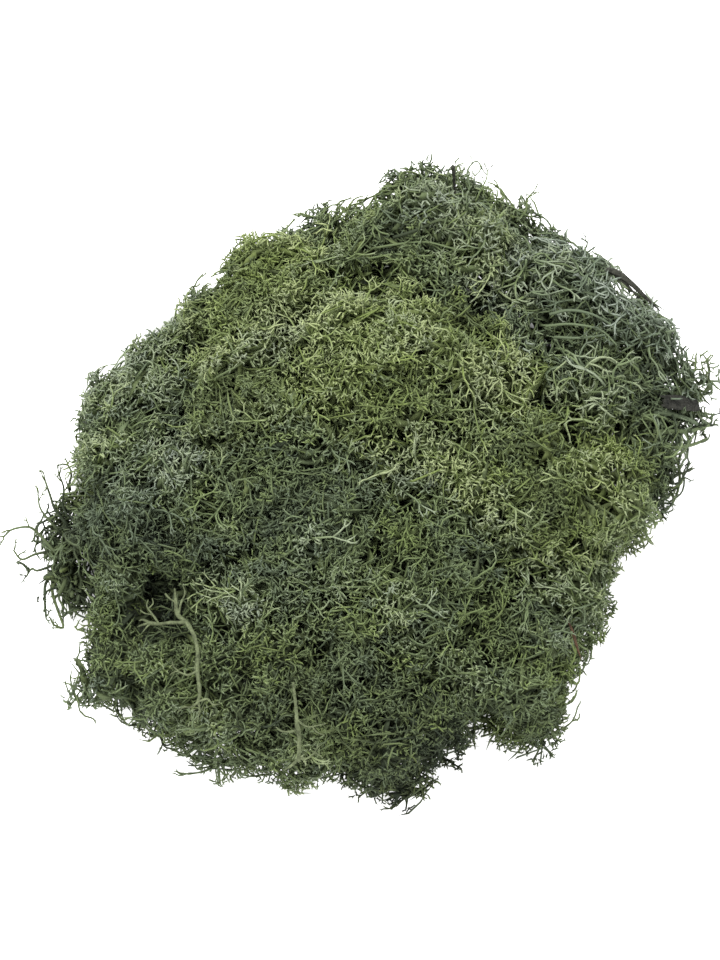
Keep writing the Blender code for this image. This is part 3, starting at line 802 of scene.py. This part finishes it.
        # branches that fork in two at their ends, again and again: each set is shorter and thinner than the
        # last, turns towards the flow and keeps to the canopy's depth there
        own, dice = self.own, self.dice
        cool, light = self.shade(feet)
        light = light + dice.uniform(-0.11 - own["mottle"], 0.05 + own["mottle"], len(feet))
        along = unit(np.array(own["flow"], float)) * dice.choice([-1.0, 1.0], len(feet))[:, None]
        for step, length in enumerate(lengths):
            count = len(feet)
            aside = unit(np.cross(ways, unit(dice.normal(size=ways.shape))))
            reach = dice.uniform(0.65, 1.3, count)[:, None] * length * mm
            proud = skin(feet + ways * reach)[:, None] + depths[:, None]
            back = outs * np.clip(proud / reach, -0.8, 1.5)
            ending = unit(ways + own["curl"] * aside + own["pull"] * along - back)
            steps = 4 if length > 3.2 else 3
            bends = arcs(feet, feet + unit(ways + 0.5 * ending - 0.8 * back) * reach, ways, ending, steps)
            swell = dice.uniform(0.9, 1.12, count) * mm
            width = ramped(widths[step] * swell, widths[step + 1] * swell, steps)
            tone = ramped(np.full(count, tones[step]), np.full(count, tones[step + 1]), steps)
            self.strands.add(lifted(bends, width), width, tone + light[:, None], cool)
            split = unit(np.cross(ending, outs + 0.7 * dice.normal(size=outs.shape)))
            half = np.radians(dice.uniform(18, 40, (2, count)))[..., None]
            ways = np.concatenate([ending * np.cos(half[0]) + split * np.sin(half[0]),
                                   ending * np.cos(half[1]) - split * np.sin(half[1])])
            kept = dice.random(2 * count) < 0.88
            feet = np.tile(bends[:, -1], (2, 1))[kept]
            ways, outs, along = ways[kept], np.tile(outs, (2, 1))[kept], np.tile(along, (2, 1))[kept]
            cool, light, depths = (np.tile(each, 2)[kept] for each in (cool, light, depths))
        count = len(feet)
        tone = np.stack([tones[-1] + light, tones[-1] + 0.12 + light], 1)
        self.layThorns(feet, ways, dice.uniform(0.9, 1.7, count), np.full(count, widths[-1]) * mm, tone, cool)

    def growSprays(self):
        # the longer branches that run along the surface just under the canopy's tips
        own, dice = self.own, self.dice
        points, outs = self.sampled(own["sprays"])
        depths = np.maximum(self.sink(points, outs), -2 * mm) + own["sprayDepth"] * mm
        feet = self.inside(points, outs, depths + 1.5 * mm)[0]
        count = len(feet)
        lean = leaning(outs, np.radians(dice.uniform(45, 80, count)), dice.uniform(0, 2 * np.pi, count))
        self.growForked(feet, lean, outs, depths, own["sprayLengths"], own["sprayWidths"], own["sprayTones"])

    def growWisps(self):
        # each loose strand thins along its curve and forks at its middle, at three quarters and at its tip
        upward = np.tile([0.0, 0, 1], (4, 1))
        for route, width in wisps.get(self.node, []):
            path = curveThrough(route, 3 * len(route))[None]
            steps = path.shape[1]
            cool, light = self.shade(path[:, 0])
            widths = np.linspace(width, 0.62 * width, steps)[None] * mm
            tones = np.linspace(0.25, 0.62, steps)[None] + light[:, None]
            self.strands.add(path, widths, tones, cool, 5)
            at = [steps // 2, 3 * steps // 4, steps - 1, steps - 1]
            onward = unit(np.gradient(path[0], axis=0))[at]
            ways = unit(onward + 0.7 * self.dice.normal(size=(4, 3)))
            self.growForked(path[0, at], ways, upward, np.full(4, -20 * mm), (1.5, 1.0),
                            (0.62 * width, 0.5 * width, 0.4 * width), (0.5, 0.65, 0.8))

    def grow(self):
        self.growLimbs()
        self.growTangle()
        self.growBed()
        self.growForks()
        self.growSprays()
        self.growWisps()
        return self.strands


# what lies in the moss: sides round each piece's profile, size times the widths below, ridges and how deep
# they are, how flat and how square it is, and its routes: points in mm, and widths from foot to tip
finds = {
    "stem_left": {
        "slot": "loose_stem", "sides": 10, "size": 0.82,
        "ridges": 3, "ridgeDepth": 0.1, "flat": 0.9, "square": 2,
        "routes": [
            (((-43.5, -30.5, 33.5), (-43.1, -33.2, 35), (-42.6, -37.4, 35.8), (-40.2, -40, 36.6),
              (-38.5, -43.2, 37), (-37.7, -46.9, 36.8), (-37.8, -51.1, 36.2), (-37.2, -56, 34.8),
              (-37.7, -58.4, 33.8)), (0.6, 0.9, 1.4, 1.3, 1.15, 1.1, 1.3, 1.05, 0.8)),
            (((-40.6, -39.6, 36.5), (-44.5, -39.7, 36.4), (-47, -39.9, 36), (-49.6, -39.3, 35.3)),
             (1.2, 1.0, 0.9, 1.3)),
            (((-49, -39.4, 35.4), (-50.6, -38.6, 35.1), (-51.6, -38.7, 34.8)), (0.9, 0.7, 0.3)),
            (((-49, -39.4, 35.4), (-50.8, -39.8, 35), (-52, -40.2, 34.6)), (0.8, 0.6, 0.3)),
            (((-48.6, -39.4, 35.5), (-49.8, -40.4, 35.1), (-50.7, -41.4, 34.6)), (0.7, 0.5, 0.3)),
            (((-46.9, -39.8, 36), (-48.4, -37.6, 36), (-49.8, -35.4, 35.4), (-49.6, -33.6, 34.6)),
             (0.7, 0.6, 0.5, 0.3)),
            (((-48.4, -37.6, 36), (-50.2, -37.2, 35.6), (-51.4, -36.2, 35)), (0.5, 0.45, 0.3)),
            (((-49.4, -36, 35.6), (-48.4, -34.8, 35.6), (-48.6, -33.4, 35)), (0.45, 0.4, 0.3)),
            (((-43, -34.4, 35.2), (-44.6, -33.4, 35.2), (-45.6, -32.2, 34.8)), (0.6, 0.5, 0.65)),
            (((-42.4, -38, 35.9), (-41.9, -34.9, 35.8), (-41, -32.2, 35.2), (-41.6, -29.5, 34)),
             (0.8, 0.6, 0.5, 0.3)),
            (((-37.7, -51.2, 36.2), (-40, -52.2, 36.2), (-42.6, -51.2, 35.6), (-44.2, -51.8, 34.8)),
             (0.9, 0.6, 0.5, 0.3)),
            (((-42, -51.3, 35.8), (-43.4, -50, 35.6), (-43.6, -48.6, 35)), (0.45, 0.4, 0.25)),
            (((-37.6, -58, 34), (-35.4, -57.4, 34.2), (-34.2, -58.6, 33.6), (-32.4, -58.2, 32.6)),
             (0.8, 0.6, 0.5, 0.3)),
            (((-37.6, -58.2, 34), (-39.3, -59.3, 33.8), (-41, -59.2, 33.4), (-42.4, -60.2, 32.6)),
             (0.8, 0.6, 0.5, 0.3)),
            (((-37.6, -58, 33.9), (-37.2, -60, 33.2), (-38, -62, 32)), (0.7, 0.5, 0.3))]},
    "stem_bottom": {
        "slot": "loose_stem", "sides": 10, "size": 0.82,
        "ridges": 3, "ridgeDepth": 0.1, "flat": 0.9, "square": 2,
        "routes": [
            (((-15.4, -55.4, 41.3), (-15.1, -58, 40.8), (-14.7, -61, 39.9), (-14.4, -65.2, 38.1),
              (-14, -67.1, 37.2), (-14, -69.6, 36), (-14.2, -72.2, 34.4)),
             (0.7, 0.9, 0.9, 1.5, 1.3, 1.1, 1.3)),
            (((-14.6, -63.6, 38.9), (-12.8, -64.9, 38.8), (-11.4, -65.2, 38.6), (-7.9, -64.3, 38)),
             (0.8, 0.5, 0.5, 0.3)),
            (((-11, -65.2, 38.6), (-9.8, -66.4, 38), (-8.2, -66.8, 37.2)), (0.45, 0.4, 0.25)),
            (((-14.2, -65.8, 37.9), (-16.4, -66.2, 37.9), (-18.1, -65.9, 37.4), (-19.4, -64.8, 36.8)),
             (0.9, 0.6, 0.5, 0.3)),
            (((-14.1, -71.8, 34.6), (-16, -73.4, 34.2), (-17.6, -74.2, 33.2)), (1.0, 0.7, 0.4)),
            (((-14.1, -71.6, 34.7), (-12.4, -71.9, 35), (-10.4, -70.6, 35), (-8.6, -71.4, 34.2)),
             (0.9, 0.6, 0.5, 0.3)),
            (((-10.6, -70.7, 35), (-9.8, -69.2, 35), (-8.8, -68.4, 34.8)), (0.45, 0.4, 0.25))]},
    "twig_dark": {
        "slot": "dark_twig", "sides": 14, "size": 1.0,
        "ridges": 3, "ridgeDepth": 0.16, "flat": 0.7, "square": 3,
        "routes": [
            (((59.2, 48, 38), (61.6, 47, 38.2), (65, 44.6, 37.4), (68.6, 41.6, 35.9), (72.2, 38.8, 33.8)),
             (1.1, 1.45, 1.25, 0.9, 0.25)),
            (((59.8, 47.6, 37.5), (63, 45.2, 37.2), (66, 42.4, 36.2), (68.4, 40, 34.8)),
             (0.6, 0.7, 0.5, 0.2))]},
    "twig_stub": {
        "slot": "dark_twig", "sides": 12, "size": 1.0,
        "ridges": 3, "ridgeDepth": 0.1, "flat": 0.9, "square": 2,
        "routes": [
            (((23.2, 66.4, 33), (22.9, 69, 37.6), (22.6, 71, 41), (22.3, 72.4, 43.3)),
             (0.8, 0.75, 0.85, 1.1))]},
    "needle_red": {
        "slot": "dry_needle", "sides": 10, "size": 0.75,
        "ridges": 2, "ridgeDepth": 0.05, "flat": 0.45, "square": 2,
        "routes": [
            (((48.9, -37.4, 29.9), (50, -40.4, 30.1), (50.8, -43.4, 29.6), (52, -46.6, 28.4)),
             (0.5, 1.0, 0.9, 0.15))]},
    "bark_strip": {
        "slot": "bark", "sides": 36, "size": 0.92,
        "ridges": 9, "ridgeDepth": 0.16, "flat": 0.3, "square": 5,
        "routes": [
            (((72.3, 14.6, 36), (74.4, 15.3, 34.2), (76.6, 16, 32.2), (78.8, 16.7, 29.8),
              (80.8, 17.2, 27.5)), (2.4, 3.5, 3.6, 3.5, 3.1)),
            (((71.6, 13.9, 36.7), (75, 14.4, 33.9), (79, 15.4, 29.9), (81.6, 16.2, 26.9)),
             (0.5, 1.2, 1.1, 0.5)),
            (((71.2, 16, 37), (74.6, 16.9, 34.2), (78, 17.7, 30.8), (80.2, 18.1, 28.4)),
             (0.4, 1.1, 1.2, 0.6))]},
}


def layFind(node, settings, finish):
    # every route is a profile carried along a smooth curve: a squared circle, flattened, with ridges that
    # wander round it and a little roughness
    dice = np.random.default_rng(len(node))
    sides = settings["sides"]
    turn = np.arange(sides) * 2 * np.pi / sides
    power = settings["square"]
    edge = (np.abs(np.cos(turn)) ** power + np.abs(np.sin(turn) / settings["flat"]) ** power) ** (-1 / power)
    strands = Strands()
    for route, widths in settings["routes"]:
        steps = 6 * len(route)
        share = np.linspace(0, 1, steps)
        width = np.interp(share, np.linspace(0, 1, len(widths)), widths)[None] * settings["size"] * mm
        wander = 1.2 * np.sin(7 * share + dice.uniform(0, 6))[:, None]
        ridge = 1 + settings["ridgeDepth"] * np.cos(settings["ridges"] * turn + wander)
        grains = 0.045 * dice.normal(size=(steps, sides))
        rough = 1 + grains + 0.06 * np.sin(23 * share + dice.uniform(0, 6))[:, None]
        outline = np.concatenate([edge * ridge * rough, np.ones((1, sides))])
        strands.add(curveThrough(route, steps)[None], width, share[None], np.zeros(1), sides, outline)
    piece, count = strands.piece(node + "_found", finish, mapped=False)
    standIn(piece, node, count)


def woodFinish(name, dark, light, grain, roughness, bump):
    # two colours mixed by noise in the object's own space, and the same noise as relief
    finish = Finish(name, roughness, Specular_IOR_Level=0.15)
    place = finish.node("TexCoord").outputs["Object"]
    coarse = finish.node("TexNoise", Vector=place, Scale=grain, Detail=5.0, Roughness=0.6)
    fine = finish.node("TexNoise", Vector=place, Scale=4 * grain, Detail=3.0)
    coarse, fine = Maths(finish, coarse.outputs["Fac"]), Maths(finish, fine.outputs["Fac"])
    share = 3.2 * (0.75 * coarse + 0.25 * fine) - 1.1
    colour = finish.node("Mix", {"data_type": "RGBA"}, _0=share, _6=(*dark, 1), _7=(*light, 1))
    finish.feed(colour.outputs[2], finish.shader.inputs["Base Color"])
    relief = finish.node("Bump", Height=coarse + 0.5 * fine, Strength=bump, Distance=0.0003)
    finish.feed(relief.outputs["Normal"], finish.shader.inputs["Normal"])
    return finish.material


findFinishes = {
    "loose_stem": woodFinish("loose_stem_wood", (0.048, 0.057, 0.030), (0.158, 0.186, 0.098), 450, 0.85, 1.0),
    "dark_twig": woodFinish("dark_twig_wood", (0.012, 0.013, 0.010), (0.062, 0.063, 0.050), 900, 0.8, 1.0),
    "dry_needle": woodFinish("dry_needle_wood", (0.030, 0.018, 0.011), (0.105, 0.060, 0.034), 800, 0.7, 0.6),
    "bark": woodFinish("bark_wood", (0.006, 0.0065, 0.0055), (0.036, 0.036, 0.029), 620, 0.85, 1.0),
}
findRoutes = [route for settings in finds.values() for route, widths in settings["routes"]]
findPlaces = np.concatenate([curveThrough(route, 12) for route in findRoutes])
for node, settings in finds.items():
    layFind(node, settings, findFinishes[settings["slot"]])

cushions = {node: readCushion(node) for node in tufts}
heapPoints, heapWays, heapOwner = heapSkin(np.random.default_rng(7))
print("places on the skin:", len(heapPoints))
total = 0
for index, (node, settings) in enumerate(tufts.items()):
    own = usual | settings
    mine = heapOwner == index
    tuft = Tuft(node, heapPoints[mine], heapWays[mine], own, 40 + index)
    piece, count = tuft.grow().piece(node.replace("tuft_", "") + "_moss", finishes[own["slot"]])
    standIn(piece, node, count)
    total += count
print("moss triangles in all:", total)


studio = {
    "floorHalf": 4,
    "floorColour": (0.93, 0.93, 0.93),
    "floorGlow": 0.7,                      # painted light: the paper glows close round the clump, which keeps it white and washes out the clump's shadow
    "paintedShadowColour": (0.10, 0.12, 0.08),     # painted shadow under the clump, with no glow there
    "ovalCentre": (-0.003, 0.003, 0.0),    # of the part of the floor that the clump covers
    "ovalHalf": (0.083, 0.078, 1.0),
    "ovalEdge": (0.78, 0.84),              # shares of the half sizes between which the shade ends
    "lamps": {                             # place, size and power
        "key": ((-0.35, 0.50, 1.25), 1.0, 28),
        "fill": ((0.9, -0.9, 0.9), 1.4, 7)},
    "sky": 1.05,
    "aim": (0.0, 0.0, 0.022),
    "distance": 0.90,
    "elevation": 72,                       # degrees above the horizon
    "lens": 140.6,
    "sensor": 36,
}


def layFloor():
    # pale paper that glows round the clump as painted light, with a dark oval of painted shadow where the
    # clump
    # covers it: the distance from the oval's centre in its own half sizes runs both the glow and the paint
    # from dark to pale
    half, reachEnds = studio["ovalHalf"], studio["ovalEdge"]
    finish = Finish("floor_paint", 0.9)
    spot = finish.node("Mapping", Vector=finish.node("TexCoord").outputs["Object"],
                       Location=tuple(-at / part for at, part in zip(studio["ovalCentre"], half)),
                       Scale=tuple(1 / part for part in half))
    reach = finish.node("VectorMath", {"operation": "LENGTH"}, _0=spot.outputs["Vector"]).outputs["Value"]
    for socket, colours in (("Emission Color", ((0, 0, 0), (1, 1, 1))),
                            ("Base Color", (studio["paintedShadowColour"], studio["floorColour"]))):
        ramp = finish.node("ValToRGB", {"stops": tuple(zip(reachEnds, colours))}, Fac=reach)
        finish.feed(ramp.outputs["Color"], finish.shader.inputs[socket])
    finish.feed(studio["floorGlow"], finish.shader.inputs["Emission Strength"])
    far = studio["floorHalf"]
    mesh = bpy.data.meshes.new("floor")
    mesh.from_pydata([(-far, -far, 0), (far, -far, 0), (far, far, 0), (-far, far, 0)], [], [(0, 1, 2, 3)])
    mesh.materials.append(finish.material)
    return placed("floor", mesh)


def hangLamp(name, place, size, power):
    # a square lamp that faces the clump
    lamp = bpy.data.lights.new(name, "AREA")
    lamp.size = size
    lamp.energy = power
    made = placed(name, lamp)
    made.location = place
    made.rotation_euler = (Vector(studio["aim"]) - Vector(place)).to_track_quat("-Z", "Y").to_euler()


def placeCamera():
    # looks at the aim from a distance, so many degrees above the horizon
    lens = bpy.data.cameras.new("camera")
    lens.lens = studio["lens"]
    lens.sensor_width = studio["sensor"]
    lens.clip_start = 0.01
    rise = math.radians(studio["elevation"])
    back = Vector((0, -math.cos(rise), math.sin(rise)))
    camera = placed("camera", lens)
    camera.location = Vector(studio["aim"]) + back * studio["distance"]
    camera.rotation_euler = (-back).to_track_quat("-Z", "Y").to_euler()
    bpy.context.scene.camera = camera


layFloor()
for name, (place, size, power) in studio["lamps"].items():
    hangLamp(name, place, size, power)
world = bpy.data.worlds.new("studio")
world.use_nodes = True
world.node_tree.nodes["Background"].inputs["Color"].default_value = (1, 1, 1, 1)
world.node_tree.nodes["Background"].inputs["Strength"].default_value = studio["sky"]
bpy.context.scene.world = world
bpy.context.scene.view_settings.view_transform = "Standard"
placeCamera()
print("studio ready")
